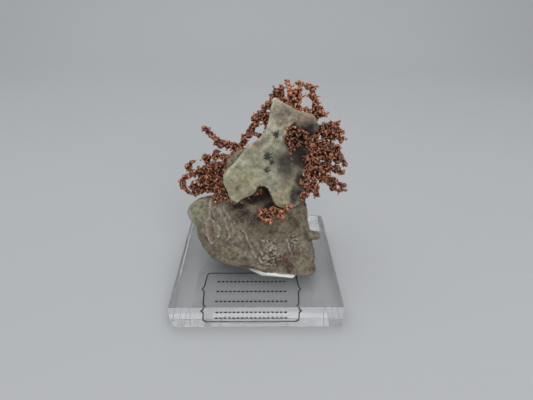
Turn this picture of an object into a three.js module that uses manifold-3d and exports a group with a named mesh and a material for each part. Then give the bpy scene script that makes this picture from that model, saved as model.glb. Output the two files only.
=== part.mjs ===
// Native copper grown on its own piece of rock, stuck with mounting putty on a small clear slab.
// Units are millimetres. The origin is the middle of the slab's underside: X right, Y away, Z up.
import * as THREE from "three";
import { mergeVertices } from "three/addons/utils/BufferGeometryUtils.js";
import Module from "manifold-3d";

const wasm = await Module();
wasm.setup();

// The slab and the printed film let into its underside
const SLAB_SIDE = 50.8;
const SLAB_THICK = 7.94;
const FILM_SIZE = [34.4, 18.2];
const FILM_MIDDLE = [-2.1, -13.3];
const FILM_THICK = 0.1;
const FILM_LIFT = 0.02;
const FILM_CLEARANCE = 0.05;

// Neighbours keep this gap to each other
const GAP = 0.3;

// The specimen leans back on the slab. U runs right, V up the lean and W out to the front, from this point.
const LEAN = THREE.MathUtils.degToRad(29);
const SPECIMEN_ORIGIN = new THREE.Vector3(0, 0, 30);
const AXIS_V = new THREE.Vector3(0, Math.sin(LEAN), Math.cos(LEAN));
const AXIS_W = new THREE.Vector3(0, -Math.cos(LEAN), Math.sin(LEAN));

// The rock stands on a flat patch that rises a little to the left, over the putty
const ROCK_FOOT_HEIGHT = SLAB_THICK + 1.9;
const ROCK_FOOT_TILT = THREE.MathUtils.degToRad(5.5);

// The putty pad's outline on the slab, as [x, y] anticlockwise from the left, and how high it was pressed
const PUTTY = {
  outline: [
    [-6.5, -4.5], [-3, -7.6], [1.5, -10], [6, -11.8], [12, -12.4], [13.2, -9], [11, -3], [2, -1], [-5, -1.5],
  ],
  middle: [4, -7],
  height: 2.6,
  spokes: 22,
  rings: 6,
};

// How a stone rounds from its outline: powers of the distance from its middle, as a share of the way to its rim
const OUTLINE_HOLD = 1.5;
const OUTLINE_SPREAD = 0.8;
const FACE_FLATNESS = 0.7;
const LUMPS_ON_FACE = 1.6;
const LUMPS_ON_RIM = 0.5;
const GROWTH_MARGIN = 1.2;
const BROAD_LUMP = 0.52;
const SMALL_LUMP = 1.05;
const PEBBLE_LUMP_COUNT = 4;

// Copper grows as strings of eight-faced crystals, sized as shares of the string's radius at that place
const CRYSTAL_SPACING = 2.4;
const CRYSTAL_OVERLAP = 0.8;
const CRYSTAL_WIDTH = 1.6;
const CRYSTAL_WIDTH_SPREAD = 0.15;
const SHORTEST_CRYSTAL = 0.8;
const SIDE_CRYSTAL_SIZE = 1.05;
const SIDE_CRYSTAL_REACH = 0.95;
const SIDE_CRYSTAL_CHANCE = 0.1;
const FIRST_SEED = 101;
const SEED_STEP = 17;

// A thick mass has a second layer behind: its first strings again, as shares of their reach and radius
const BACK_STRINGS = 2;
const BACK_REACH = 0.85;
const BACK_RISE = 0.6;
const BACK_RADIUS = 0.9;

const FINISH = {
  display_base: [0xdfe6e8, 0.05, 0],
  label_film: [0xe8ecec, 0.3, 0],
  mounting_putty: [0xe9e8e4, 0.7, 0],
  matrix_rock: [0x8f8f7c, 0.85, 0],
  copper: [0x8a4a35, 0.45, 0.9],
};

// Stones: [u, v] outlines run clockwise as the viewer sees them. The rim lies at depth rim + tilt * v.
const PLATE = {
  outline: [
    [4.9, 29.9], [7.2, 28.4], [9.5, 26.9], [13.1, 25.6], [16.7, 24.1], [18.8, 21.9], [18.8, 19.6], [16.8, 16.4],
    [15.6, 12.4], [15, 8.4], [14.6, 5.3], [14.4, 1.7], [13.4, -2], [11.3, -3], [8.9, -2.7], [7.3, -3.3],
    [5.7, -2.7], [4.6, -0.1], [3.6, 2.9], [2, 4], [0.1, 3.6], [-0.7, 1.3], [-3.9, -0.1], [-6.8, -2.1],
    [-8.5, -0.2], [-10, 3.5], [-10.7, 5.3], [-9.1, 8.3], [-6.4, 10.8], [-4.4, 13.4], [-2, 15.6], [1.6, 17.3],
    [3.5, 19.5], [4.3, 22.4], [4.1, 25.8],
  ],
  middle: [4, 11],
  rim: 2.9,
  tilt: 0.2,
  front: 2.6,
  back: 6.5,
  detail: 6,
  lumps: 0.5,
  seed: 11,
};
const CORE = {
  outline: [
    [6, 23.5], [10, 24.5], [14, 23], [17.2, 20.5], [17.8, 17.5], [17.4, 12], [16.6, 5.7], [15.6, 0.5],
    [14, -4.7], [-2.2, -5.7], [-11, -3], [-10.8, 1.8], [-10.4, 5.6], [-9.8, 9.4], [-8.6, 12.3],
    [-5.6, 14.5], [-2, 16], [3.2, 18.5],
  ],
  middle: [2, 8],
  rim: -3.6,
  tilt: 0.25,
  front: 4.5,
  back: 9,
  detail: 3,
  lumps: 0.8,
  seed: 23,
};
const BLOCK = {
  outline: [
    [-0.6, 2.4], [10.7, 1.8], [15.4, -0.8], [15.9, -4.5], [16.8, -8.9], [17.4, -12.4], [18.2, -16.1],
    [18.5, -20.1], [19, -23.4], [18.5, -26], [15.9, -30], [8, -30], [1.5, -24.6], [-3, -22.5], [-6, -21.9],
    [-10.2, -21], [-14.1, -19.5], [-16.8, -16.1], [-19, -12], [-19.6, -8.9], [-22.1, -6.1], [-22.2, -4],
    [-20.7, -1.7], [-17.9, -0.1], [-14.6, 1], [-11.2, 1.4],
  ],
  middle: [0, -12],
  rim: -3,
  tilt: 0,
  front: 4.6,
  back: 16,
  detail: 6,
  lumps: 0.8,
  seed: 37,
};
const SPUR = { centre: [17.6, -12.2, -2], size: [2.9, 1.6, 2.2], detail: 1, lumps: 0.12, seed: 5 };
const CAVITY = { centre: [15.2, 15.2, 9.4], size: [7.2, 8.8, 7.6], detail: 2, lumps: 0.1, seed: 7 };
const RECESS = { centre: [-1.5, -1, -1.5], size: [8.5, 4.2, 4.5], detail: 2, lumps: 0.12, seed: 9 };

// Copper: each string of crystals is a list of points [u, v, w, crystal radius], hand-placed from its root out.
// depth is how far behind the front strings a second layer of the same mass lies.
const COPPER = {
  copper_left_fan: {
    depth: 3,
    strings: [
      [
        [-8.9, 10.4, 0, 1.5], [-11.4, 9.8, -1, 1.7], [-13.7, 9.1, -1, 1.8], [-16.7, 8.4, -1, 1.6],
        [-19.2, 8, -1, 1.4], [-21.1, 7.1, -1, 1],
      ],
      [
        [-10.2, 6, 0, 1.8], [-14.2, 5.2, -1, 1.9], [-17, 5.2, -1, 1.6], [-19.2, 3.6, -1, 1.3],
        [-21.1, 3.3, -1, 1],
      ],
      [
        [-10.2, 2.9, 0, 1.6], [-14, 3, -1, 1.6], [-16.7, 3, -1, 1.3], [-18.6, 1.7, -1, 1.1],
        [-19.6, 1.1, -1, 0.8],
      ],
      [[-8.9, 10.4, 0, 1.4], [-10.2, 6, 0, 1.6], [-10.2, 2.9, 0, 1.6]],
      [[-17, 8.4, -1, 1.2], [-17, 5.2, -1, 1.2], [-16.7, 3, -1, 1]],
    ],
  },
  copper_left_hook: {
    depth: 0,
    strings: [[[-20.2, 8.4, -1, 1], [-21.8, 9.3, -1, 0.9], [-21.3, 10.9, -1, 0.8], [-19.6, 11.5, -1, 0.7]]],
  },
  copper_left_loop: {
    depth: 0,
    strings: [
      [
        [-20.8, 6.5, -1, 0.9], [-22.9, 6.6, -1, 0.9], [-23.7, 4.9, -1, 0.7], [-23.7, 3.1, -1, 0.9],
        [-22.1, 2.8, -1, 0.7],
      ],
    ],
  },
  copper_left_root: {
    depth: 0,
    strings: [
      [
        [-8, 2.6, 1.5, 1.3], [-9.7, 0.6, 1.2, 1.3], [-12.4, 0.2, 0.8, 1.2], [-13.3, -0.9, 1, 0.9],
        [-11.3, -1.5, 1.3, 0.8],
      ],
      [[-9.7, 0.6, 1.2, 1], [-8.6, -0.4, 1.5, 0.9], [-8, -1.5, 1.8, 0.7]],
    ],
  },
  copper_left_shoulder: {
    depth: 0,
    strings: [
      [
        [-8.2, 12.4, -0.5, 1.2], [-12, 12.8, -1, 1.3], [-14.2, 13.1, -1, 1.1], [-16.1, 12.3, -1, 1],
        [-17.2, 13.4, -1, 0.7],
      ],
      [[-12, 12.8, -1, 1.1], [-13.6, 14.4, -1, 0.9], [-11.7, 14.7, -1, 0.8]],
      [[-16.1, 12.3, -1, 0.9], [-16.1, 10.5, -1, 1], [-14.8, 9.9, -1, 1]],
    ],
  },
  copper_left_twig: {
    depth: 0,
    strings: [
      [
        [-4.3, 14.8, 1, 0.9], [-6.2, 15.8, 1, 1.1], [-8.4, 16.2, 0, 1.3], [-10.3, 16.2, 0, 1.1],
        [-12.2, 17.4, 0, 1.1],
      ],
      [
        [-12.2, 17.4, 0, 1.1], [-13, 18.7, 0, 0.9], [-14.7, 19.9, 0, 0.8], [-16.3, 20.6, 0, 0.7],
        [-17.2, 21.5, 0, 0.7],
      ],
      [[-12.2, 17.4, 0, 1], [-13.1, 16.2, 0, 0.7]],
      [[-17.2, 21.5, 0, 0.7], [-15.9, 22, 0, 0.7], [-14.7, 20.6, 0, 0.7]],
    ],
  },
  copper_ridge_chain: {
    depth: 0,
    strings: [
      [
        [-4.9, 15.8, 1, 0.9], [-4.1, 17.8, 2, 0.8], [-3, 19.1, 2, 0.8], [-2.1, 20.6, 2, 0.8],
        [-0.8, 21.7, 3, 0.9],
      ],
      [[-0.8, 21.7, 3, 0.9], [-0.5, 23.5, 3, 0.9], [-0.1, 25.4, 3, 0.9]],
      [[-2.1, 20.6, 2, 0.8], [0.1, 19.1, 3, 0.7], [1.8, 18.5, 3, 0.7]],
    ],
  },
  copper_ridge_fan: {
    depth: 0,
    strings: [
      [[0.7, 23, 4, 0.9], [1.3, 25.2, 4, 1], [1.9, 27, 4, 0.9], [3.4, 27.9, 5, 0.8]],
      [[1.3, 25.2, 4, 0.9], [2.8, 24, 4, 1], [4, 25, 5, 0.8]],
      [[2.8, 24, 4, 0.8], [3.2, 22.4, 4, 0.6], [2.7, 20.3, 4, 0.6]],
    ],
  },
  copper_crest_left: {
    depth: 0,
    strings: [
      [[4, 27, 6, 0.8], [4, 29.6, 6, 0.8], [4.9, 31.2, 7, 0.8], [6.4, 32.4, 7, 1], [8, 32.7, 7, 0.9]],
      [[6.4, 32.4, 7, 0.9], [7, 30.9, 7, 0.8], [8.2, 30, 7, 0.6]],
    ],
  },
  copper_crest_plate: {
    depth: 0,
    strings: [
      [[10.3, 32.3, 6, 1.1], [10.6, 30.2, 6, 1.3], [11.3, 28.4, 6, 1.2], [12.8, 26.9, 6, 0.8]],
      [
        [11.3, 28.4, 6, 1.1], [12.8, 29, 6, 1.1], [12.9, 31.5, 6, 1.1], [12.8, 33.6, 6, 0.9],
        [12.8, 35.5, 6, 0.7],
      ],
      [[10.3, 32.3, 6, 0.8], [9.6, 34.1, 6, 0.7], [8.7, 35.3, 6, 0.6]],
    ],
  },
  copper_crest_arch: {
    depth: 0,
    strings: [
      [[14.7, 33.9, 5, 0.8], [16.8, 33.1, 5, 0.9], [18, 33.4, 5, 0.6], [18.6, 34.3, 5, 0.5]],
      [
        [16.8, 33.1, 5, 0.8], [17.1, 32, 5, 0.8], [17, 30.5, 5, 0.8], [18, 29.3, 5, 0.9],
        [17.6, 27.8, 5, 0.9],
      ],
      [[17.6, 27.8, 5, 0.9], [19.3, 26.6, 5, 1.1], [20.5, 25.4, 5, 0.9], [21.4, 24.5, 5, 0.6]],
      [[15.3, 26.4, 5, 0.7], [16.8, 26, 5, 0.9], [18.6, 25.1, 5, 1.1], [19.3, 26.6, 5, 0.9]],
    ],
  },
  copper_right_upper: {
    depth: 3,
    strings: [
      [
        [19.2, 20.9, 3, 1.3], [21.9, 20.7, 4, 1.7], [23.9, 21.5, 3, 1.4], [24.8, 22.7, 3, 0.9],
        [25.4, 23.5, 3, 0.6],
      ],
      [[21.9, 20.7, 4, 1.4], [23.9, 19.6, 3, 1.3], [25.7, 19.6, 3, 0.8], [27, 20.9, 3, 0.7]],
      [[21.9, 20.7, 3, 1.5], [21.7, 18.7, 3, 1.4], [24.5, 18.1, 3, 0.8], [27.3, 18.1, 3, 0.7]],
    ],
  },
  copper_right_middle: {
    depth: 4,
    strings: [
      [[18.2, 16.3, 2, 1.4], [21.3, 16.1, 4, 1.5], [23.9, 15.3, 3, 1.4], [25.9, 15.3, 2, 0.8]],
      [
        [17.4, 13.3, 3, 1.5], [20.6, 13, 4, 1.7], [23.9, 12.8, 3, 1.8], [26.6, 11.7, 2, 1.4],
        [28.2, 9.8, 2, 0.6],
      ],
      [[21.3, 16.1, 4, 1.3], [20.6, 13, 4, 1.3]],
    ],
  },
  copper_right_lower: {
    depth: 4,
    strings: [
      [[17, 10, 3, 1.5], [20, 9.6, 4, 1.6], [23.3, 9.1, 3, 1.6], [26, 8.4, 2, 0.9], [26.9, 7.2, 2, 0.8]],
      [
        [16.6, 6.9, 3, 1.5], [19.4, 6.3, 4, 1.5], [22.7, 5.7, 3, 1.5], [25.3, 4.2, 2, 0.9],
        [27.2, 3.9, 2, 0.8],
      ],
      [[22.7, 5.7, 3, 1.2], [22.8, 3.6, 2, 1], [24.9, 2.2, 2, 0.8], [27.4, 2.3, 2, 0.7]],
      [[20, 9.6, 4, 1.3], [19.4, 6.3, 4, 1.3]],
    ],
  },
  copper_right_tail: {
    depth: 0,
    strings: [
      [[13.4, 4, 6, 1.1], [16.2, 3.8, 5, 1.4], [18.8, 3.4, 4, 1.1]],
      [[16.2, 3.8, 5, 1.1], [17.6, 2.6, 4, 0.9], [18.6, 1.4, 3, 0.8], [18.3, 0.1, 3, 0.7]],
      [[16.2, 3.8, 5, 1.1], [15, 2.6, 5, 0.9], [15.1, 1, 4, 0.8], [15.7, 0.1, 4, 0.6]],
    ],
  },
  copper_pocket: {
    depth: 0,
    strings: [
      [[8.2, 20.4, 7, 0.9], [10, 19.8, 7, 1], [11.7, 20.3, 8, 1], [13.6, 19.2, 7, 1], [15.5, 17.9, 6, 1.1]],
      [[8.2, 20.4, 7, 0.9], [8.5, 18.8, 6, 1], [9.5, 16.7, 6, 1.1], [10.7, 15, 5, 1], [9.5, 13.8, 5, 0.9]],
      [[9.5, 16.7, 6, 1], [12, 17.4, 5, 1.1], [13.8, 17.1, 5, 0.9], [15.5, 17.9, 6, 0.9]],
    ],
  },
  copper_edge: {
    depth: 0,
    strings: [[[13.6, 2, 4, 0.9], [13.4, -0.2, 4, 0.9], [14, -2, 3, 0.7]]],
  },
  copper_front_tuft: {
    depth: 0,
    strings: [
      [[0.4, -3.9, 1, 0.9], [2, -4.5, 2, 0.9], [3.8, -3.6, 3, 1], [6.3, -4.5, 3, 0.9], [8.4, -3.9, 3, 0.9]],
      [[8.4, -3.9, 3, 0.9], [10, -2.6, 3, 0.8], [11.5, -2.5, 3, 0.6]],
      [[2, -4.5, 2, 0.9], [1.7, -6.1, 2, 0.8], [3.5, -7.1, 2.5, 0.9], [5.1, -7.6, 2.5, 0.6]],
      [[6.3, -4.5, 3, 0.8], [7.8, -5.4, 3, 0.7], [8.1, -7.1, 3, 0.6]],
    ],
  },
  copper_notch: {
    depth: 0,
    strings: [[[0.4, 2.8, 1, 0.8], [1.7, 1.7, 0, 0.9], [2, 0.4, -1.5, 0.9]]],
  },
};

// A repeatable stream of random numbers from 0 to 1
function randomFrom(seed) {
  let state = seed >>> 0;
  return () => {
    state = (state + 0x6d2b79f5) >>> 0;
    let t = Math.imul(state ^ (state >>> 15), 1 | state);
    t = (t + Math.imul(t ^ (t >>> 7), 61 | t)) ^ t;
    return ((t ^ (t >>> 14)) >>> 0) / 4294967296;
  };
}

function randomDirection(random) {
  const height = 2 * random() - 1;
  const around = 2 * Math.PI * random();
  const out = Math.sqrt(1 - height * height);
  return new THREE.Vector3(out * Math.cos(around), out * Math.sin(around), height);
}

// Specimen coordinates to the part's own X, Y, Z
function specimen(u, v, w) {
  const point = SPECIMEN_ORIGIN.clone();
  point.x += u;
  return point.addScaledVector(AXIS_V, v).addScaledVector(AXIS_W, w);
}

function solidOf(geometry) {
  const bare = geometry.clone();
  bare.deleteAttribute("normal");
  bare.deleteAttribute("uv");
  const merged = mergeVertices(bare, 1e-4);
  const mesh = new wasm.Mesh({
    numProp: 3,
    vertProperties: new Float32Array(merged.attributes.position.array),
    triVerts: new Uint32Array(merged.index.array),
  });
  return new wasm.Manifold(mesh);
}

function meshOf(name, solid, finish) {
  const { vertProperties, triVerts } = solid.getMesh();
  const geometry = new THREE.BufferGeometry();
  geometry.setAttribute("position", new THREE.BufferAttribute(new Float32Array(vertProperties), 3));
  geometry.setIndex(new THREE.BufferAttribute(new Uint32Array(triVerts), 1));
  geometry.computeVertexNormals();
  const [color, roughness, metalness] = finish;
  const material = new THREE.MeshStandardMaterial({ color, roughness, metalness, flatShading: true });
  const mesh = new THREE.Mesh(geometry, material);
  mesh.name = name;
  return mesh;
}

function largestPiece(solid) {
  return solid.decompose().reduce((best, piece) => (piece.volume() > best.volume() ? piece : best));
}

// Broad lumps on a stone, between -1 and 1
function lumpiness(p, seed) {
  const broad = p.clone().multiplyScalar(BROAD_LUMP);
  const small = p.clone().multiplyScalar(SMALL_LUMP);
  const hills = Math.sin(broad.x + 0.4 * broad.y + seed) * Math.cos(0.9 * broad.y - 0.6 * broad.z + 2 * seed);
  const knobs = Math.sin(small.x - 0.9 * small.z + 3 * seed) * Math.sin(1.1 * small.y + 0.7 * small.z + seed);
  return 0.6 * hills + 0.4 * knobs;
}

// A stone with a given outline: from the rim, its front and back faces swell out to their own depths.
// It turns from the outline's shape at the rim to a round one at the middle.
function outlineStone(stone, grow) {
  const points = stone.outline.map(([u, v]) => new THREE.Vector3(u, v, 0));
  const rim = new THREE.CatmullRomCurve3(points, true, "centripetal");
  const middle = new THREE.Vector3(stone.middle[0], stone.middle[1], 0);
  const corners = points.map((point) => point.clone().sub(middle));
  const evenLength = corners.reduce((sum, corner) => sum + corner.length(), 0) / corners.length;
  const firstAngle = Math.atan2(corners[0].y, corners[0].x);
  const geometry = new THREE.IcosahedronGeometry(1, stone.detail);
  const position = geometry.attributes.position;
  for (let i = 0; i < position.count; i += 1) {
    const unit = new THREE.Vector3().fromBufferAttribute(position, i);
    const turn = (Math.atan2(unit.z, unit.x) / (2 * Math.PI) + 1) % 1;
    const out = Math.hypot(unit.x, unit.z);
    const angle = firstAngle - 2 * Math.PI * turn;
    const even = new THREE.Vector3(evenLength * Math.cos(angle), evenLength * Math.sin(angle), 0);
    const spoke = even.lerp(rim.getPointAt(turn).sub(middle), Math.pow(out, OUTLINE_HOLD));
    const at = middle.clone().addScaledVector(spoke, Math.pow(out, OUTLINE_SPREAD));
    const swell = Math.sign(unit.y) * Math.pow(Math.abs(unit.y), FACE_FLATNESS);
    at.z = stone.rim + stone.tilt * at.y + swell * (unit.y > 0 ? stone.front : stone.back);
    const lump = stone.lumps * lumpiness(at, stone.seed);
    at.z += LUMPS_ON_FACE * lump * Math.abs(swell);
    at.x += LUMPS_ON_RIM * lump * (1 - Math.abs(swell));
    at.addScaledVector(spoke.normalize(), GROWTH_MARGIN * grow * out);
    at.z += GROWTH_MARGIN * grow * unit.y;
    const placed = specimen(at.x, at.y, at.z);
    position.setXYZ(i, placed.x, placed.y, placed.z);
  }
  return solidOf(geometry);
}

// A rounded lump, or the hollow that one leaves, squashed along u, v and w
function pebble({ centre, size, detail, lumps, seed }, grow) {
  const geometry = new THREE.IcosahedronGeometry(1, detail);
  const position = geometry.attributes.position;
  for (let i = 0; i < position.count; i += 1) {
    const unit = new THREE.Vector3().fromBufferAttribute(position, i);
    const bump = 1 + lumps * lumpiness(unit.clone().multiplyScalar(PEBBLE_LUMP_COUNT), seed);
    const u = centre[0] + unit.x * bump * (size[0] + grow);
    const v = centre[1] + unit.y * bump * (size[1] + grow);
    const w = centre[2] + unit.z * bump * (size[2] + grow);
    const placed = specimen(u, v, w);
    position.setXYZ(i, placed.x, placed.y, placed.z);
  }
  return solidOf(geometry);
}

// Everything below the flat patch that the rock stands on
function belowFoot(grow) {
  const side = 2 * SLAB_SIDE;
  const geometry = new THREE.BoxGeometry(side, side, side);
  geometry.translate(0, 0, -side / 2 - grow);
  geometry.rotateY(ROCK_FOOT_TILT);
  geometry.translate(0, 0, ROCK_FOOT_HEIGHT);
  return solidOf(geometry);
}

function rock(grow) {
  return outlineStone(PLATE, grow)
    .add(outlineStone(CORE, grow))
    .subtract(pebble(RECESS, -grow))
    .add(outlineStone(BLOCK, grow))
    .add(pebble(SPUR, grow))
    .subtract(pebble(CAVITY, -grow))
    .subtract(belowFoot(grow));
}

// An eight-faced crystal, drawn out along a direction and turned about it
function crystal(centre, direction, length, radius, random, grow) {
  const spread = grow * Math.sqrt(3);
  const geometry = new THREE.OctahedronGeometry(1, 0);
  geometry.rotateY(Math.PI * random());
  geometry.scale(radius + spread, length + spread, radius + spread);
  const up = new THREE.Vector3(0, 1, 0);
  geometry.applyQuaternion(new THREE.Quaternion().setFromUnitVectors(up, direction.clone().normalize()));
  geometry.translate(centre.x, centre.y, centre.z);
  return solidOf(geometry);
}

// One string of crystals end to end, each reaching into the next, with a smaller one on the side of some
function crystalString(points, random, grow) {
  const crystals = [];
  for (let i = 1; i < points.length; i += 1) {
    const from = specimen(...points[i - 1]);
    const to = specimen(...points[i]);
    const along = to.clone().sub(from);
    const spacing = CRYSTAL_SPACING * Math.max(points[i - 1][3], points[i][3]);
    const count = Math.max(1, Math.round(along.length() / spacing));
    const length = (CRYSTAL_OVERLAP * along.length()) / count;
    for (let k = 0; k < count; k += 1) {
      const share = (k + 0.5) / count;
      const radius = THREE.MathUtils.lerp(points[i - 1][3], points[i][3], share);
      const centre = from.clone().addScaledVector(along, share);
      const width = radius * CRYSTAL_WIDTH * (1 + CRYSTAL_WIDTH_SPREAD * (2 * random() - 1));
      crystals.push(crystal(centre, along, Math.max(length, SHORTEST_CRYSTAL * width), width, random, grow));
      const out = randomDirection(random);
      const sideCentre = centre.clone().addScaledVector(out, radius * SIDE_CRYSTAL_REACH);
      const size = radius * SIDE_CRYSTAL_SIZE;
      const side = crystal(sideCentre, randomDirection(random), size, size, random, grow);
      if (random() < SIDE_CRYSTAL_CHANCE) crystals.push(side);
    }
  }
  return crystals;
}

// A second layer behind a mass: its strings again, shorter, each tied to its front one at the root
function backLayer(strings, depth) {
  const layer = [];
  for (const string of strings) {
    const root = string[0];
    const behind = string.map(([u, v, w, radius]) => [
      root[0] + BACK_REACH * (u - root[0]),
      root[1] + BACK_REACH * (v - root[1]) + BACK_RISE,
      w - depth,
      BACK_RADIUS * radius,
    ]);
    layer.push([root, behind[0]], behind);
  }
  return layer;
}

function copper(name, grow) {
  const { strings, depth } = COPPER[name];
  const random = randomFrom(FIRST_SEED + SEED_STEP * Object.keys(COPPER).indexOf(name));
  const all = depth > 0 ? [...strings, ...backLayer(strings.slice(0, BACK_STRINGS), depth)] : strings;
  return wasm.Manifold.union(all.flatMap((points) => crystalString(points, random, grow)));
}

function slab() {
  const block = new THREE.BoxGeometry(SLAB_SIDE, SLAB_SIDE, SLAB_THICK);
  block.translate(0, 0, SLAB_THICK / 2);
  const pocketDepth = FILM_LIFT + FILM_THICK + FILM_CLEARANCE;
  const pocket = new THREE.BoxGeometry(
    FILM_SIZE[0] + 2 * FILM_CLEARANCE,
    FILM_SIZE[1] + 2 * FILM_CLEARANCE,
    2 * pocketDepth,
  );
  pocket.translate(FILM_MIDDLE[0], FILM_MIDDLE[1], 0);
  return solidOf(block).subtract(solidOf(pocket));
}

function film() {
  const sheet = new THREE.BoxGeometry(FILM_SIZE[0], FILM_SIZE[1], FILM_THICK);
  sheet.translate(FILM_MIDDLE[0], FILM_MIDDLE[1], FILM_LIFT + FILM_THICK / 2);
  return solidOf(sheet);
}

// A pressed-out pad of putty, flat on the slab, with a lip that shows along the rock's front foot
function putty(rockWithGap) {
  const { spokes } = PUTTY;
  const points = PUTTY.outline.map(([x, y]) => new THREE.Vector3(x, y, 0));
  const rim = new THREE.CatmullRomCurve3(points, true, "centripetal").getSpacedPoints(spokes);
  const middle = new THREE.Vector3(PUTTY.middle[0], PUTTY.middle[1], 0);
  const geometry = new THREE.SphereGeometry(1, spokes, PUTTY.rings);
  const position = geometry.attributes.position;
  for (let i = 0; i < position.count; i += 1) {
    const unit = new THREE.Vector3().fromBufferAttribute(position, i);
    const turn = -Math.atan2(unit.z, unit.x) / (2 * Math.PI);
    const spoke = rim[Math.round((turn + 1) * spokes) % spokes].clone().sub(middle);
    const at = middle.clone().addScaledVector(spoke, Math.hypot(unit.x, unit.z));
    position.setXYZ(i, at.x, at.y, SLAB_THICK + unit.y * PUTTY.height);
  }
  const belowTop = new THREE.BoxGeometry(SLAB_SIDE, SLAB_SIDE, SLAB_THICK);
  belowTop.translate(0, 0, SLAB_THICK / 2);
  return largestPiece(solidOf(geometry).subtract(solidOf(belowTop)).subtract(rockWithGap));
}

const rockWithGap = rock(GAP);
const part = new THREE.Group();
part.add(meshOf("display_base", slab(), FINISH.display_base));
part.add(meshOf("label_film", film(), FINISH.label_film));
part.add(meshOf("mounting_putty", putty(rockWithGap), FINISH.mounting_putty));
part.add(meshOf("matrix_rock", largestPiece(rock(0)), FINISH.matrix_rock));

let taken = rockWithGap.add(rock(0));
for (const name of Object.keys(COPPER)) {
  const own = largestPiece(copper(name, 0).subtract(taken));
  part.add(meshOf(name, own, FINISH.copper));
  taken = taken.add(copper(name, GAP));
}

export default part;
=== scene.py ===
"""Native copper grown on its rock and stuck on a clear slab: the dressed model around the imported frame."""
import math
import random

import bmesh
import bpy
import numpy as np
from mathutils import Matrix, Vector, noise
from mathutils.bvhtree import BVHTree


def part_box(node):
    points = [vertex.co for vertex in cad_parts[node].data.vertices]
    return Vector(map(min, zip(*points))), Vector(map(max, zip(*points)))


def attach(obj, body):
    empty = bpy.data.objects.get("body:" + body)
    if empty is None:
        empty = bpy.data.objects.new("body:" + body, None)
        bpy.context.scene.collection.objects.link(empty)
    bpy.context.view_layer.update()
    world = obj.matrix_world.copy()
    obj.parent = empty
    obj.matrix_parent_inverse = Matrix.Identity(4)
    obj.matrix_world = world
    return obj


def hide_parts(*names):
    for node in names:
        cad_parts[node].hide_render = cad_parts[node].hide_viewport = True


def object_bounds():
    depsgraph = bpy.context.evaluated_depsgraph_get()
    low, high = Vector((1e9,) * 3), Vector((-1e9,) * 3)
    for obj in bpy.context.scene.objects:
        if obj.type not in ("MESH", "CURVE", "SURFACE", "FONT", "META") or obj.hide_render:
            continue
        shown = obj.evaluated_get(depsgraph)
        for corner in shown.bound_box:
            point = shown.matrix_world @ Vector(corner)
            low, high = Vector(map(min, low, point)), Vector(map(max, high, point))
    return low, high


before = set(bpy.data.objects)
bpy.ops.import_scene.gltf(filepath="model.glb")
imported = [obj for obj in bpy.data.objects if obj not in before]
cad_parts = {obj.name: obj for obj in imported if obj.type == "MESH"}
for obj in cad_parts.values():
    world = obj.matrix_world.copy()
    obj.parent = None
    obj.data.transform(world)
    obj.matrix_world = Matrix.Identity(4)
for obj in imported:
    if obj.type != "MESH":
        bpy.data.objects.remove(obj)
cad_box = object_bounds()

MM = 0.001

# The specimen leans back on the slab. In millimetres, u runs right, v up the lean and w out to the front.
LEAN = math.radians(29)
SPECIMEN_ORIGIN = np.array([0.0, 0.0, 30.0])
AXES = np.array([
    [1.0, 0.0, 0.0],
    [0.0, math.sin(LEAN), math.cos(LEAN)],
    [0.0, -math.cos(LEAN), math.sin(LEAN)],
])

# The slab, from the frame's own node
SLAB_LOW, SLAB_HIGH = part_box("display_base")
SLAB_TOP = SLAB_HIGH[2] / MM
SLAB_BEVEL = 0.14
FLOOR_LEVEL = -0.06

# Camera, found from the slab's corners: millimetres and degrees, in a frame of 533 by 400
CAMERA_PLACE = (0.94, -115.11, 92.96)
CAMERA_PITCH, CAMERA_YAW, CAMERA_ROLL = 29.02, 1.07, 0.58
CAMERA_LENS = 28.1
CAMERA_SENSOR = 36
CAMERA_NEAREST = 10

# Each noise has a seed of its own, and starts that many shifts away
SEED_SHIFT = (3.7, -1.9, 2.3)
# How often the corners of a drawn line are cut
CORNER_CUTS = 2


def specimen(points):
    """Specimen points in millimetres as frame points in metres."""
    return (SPECIMEN_ORIGIN + np.asarray(points, float) @ AXES) * MM


def specimen_of(points):
    """Frame points in metres as specimen points in millimetres."""
    return (np.asarray(points, float) / MM - SPECIMEN_ORIGIN) @ AXES.T


def colour(hexa):
    """An sRGB hex value as a linear colour."""
    parts = [int(hexa[i:i + 2], 16) / 255 for i in (1, 3, 5)]
    linear = [c / 12.92 if c <= 0.04045 else ((c + 0.055) / 1.055) ** 2.4 for c in parts]
    return (*linear, 1.0)


def add(tree, kind, values=None, **settings):
    """Adds a shader node with its settings, and links each value that is a node or a socket.

    By number, a MapRange takes its value, its range and the new range, and a Mix its share at 0 and its
    colours at 6 and 7.
    """
    node = tree.nodes.new("ShaderNode" + kind)
    for key, value in settings.items():
        setattr(node, key, value)
    for key, value in (values or {}).items():
        if isinstance(value, bpy.types.Node):
            value = value.outputs[0]
        if isinstance(value, bpy.types.NodeSocket):
            tree.links.new(value, node.inputs[key])
        else:
            node.inputs[key].default_value = value
    return node


def new_material(name):
    """An empty material and its node tree."""
    material = bpy.data.materials.new(name)
    material.use_nodes = True
    material.node_tree.nodes.clear()
    return material, material.node_tree


def surfaced(material, values):
    """The material, ended with its one surface."""
    surface = add(material.node_tree, "BsdfPrincipled", values)
    add(material.node_tree, "OutputMaterial", {"Surface": surface})
    return material


def mottled(tree, place, size, first, second, low=0.0, high=1.0, detail=2.0):
    """Two tones in patches of a size in millimetres, and the noise that parts them between low and high."""
    cloud = add(tree, "TexNoise", {"Vector": place, "Scale": 1000 / size, "Detail": detail})
    share = add(tree, "MapRange", {0: cloud, 1: low, 2: high})
    tones = {0: share, 6: colour(first), 7: colour(second)}
    return add(tree, "Mix", tones, data_type="RGBA").outputs[2], cloud


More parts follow.
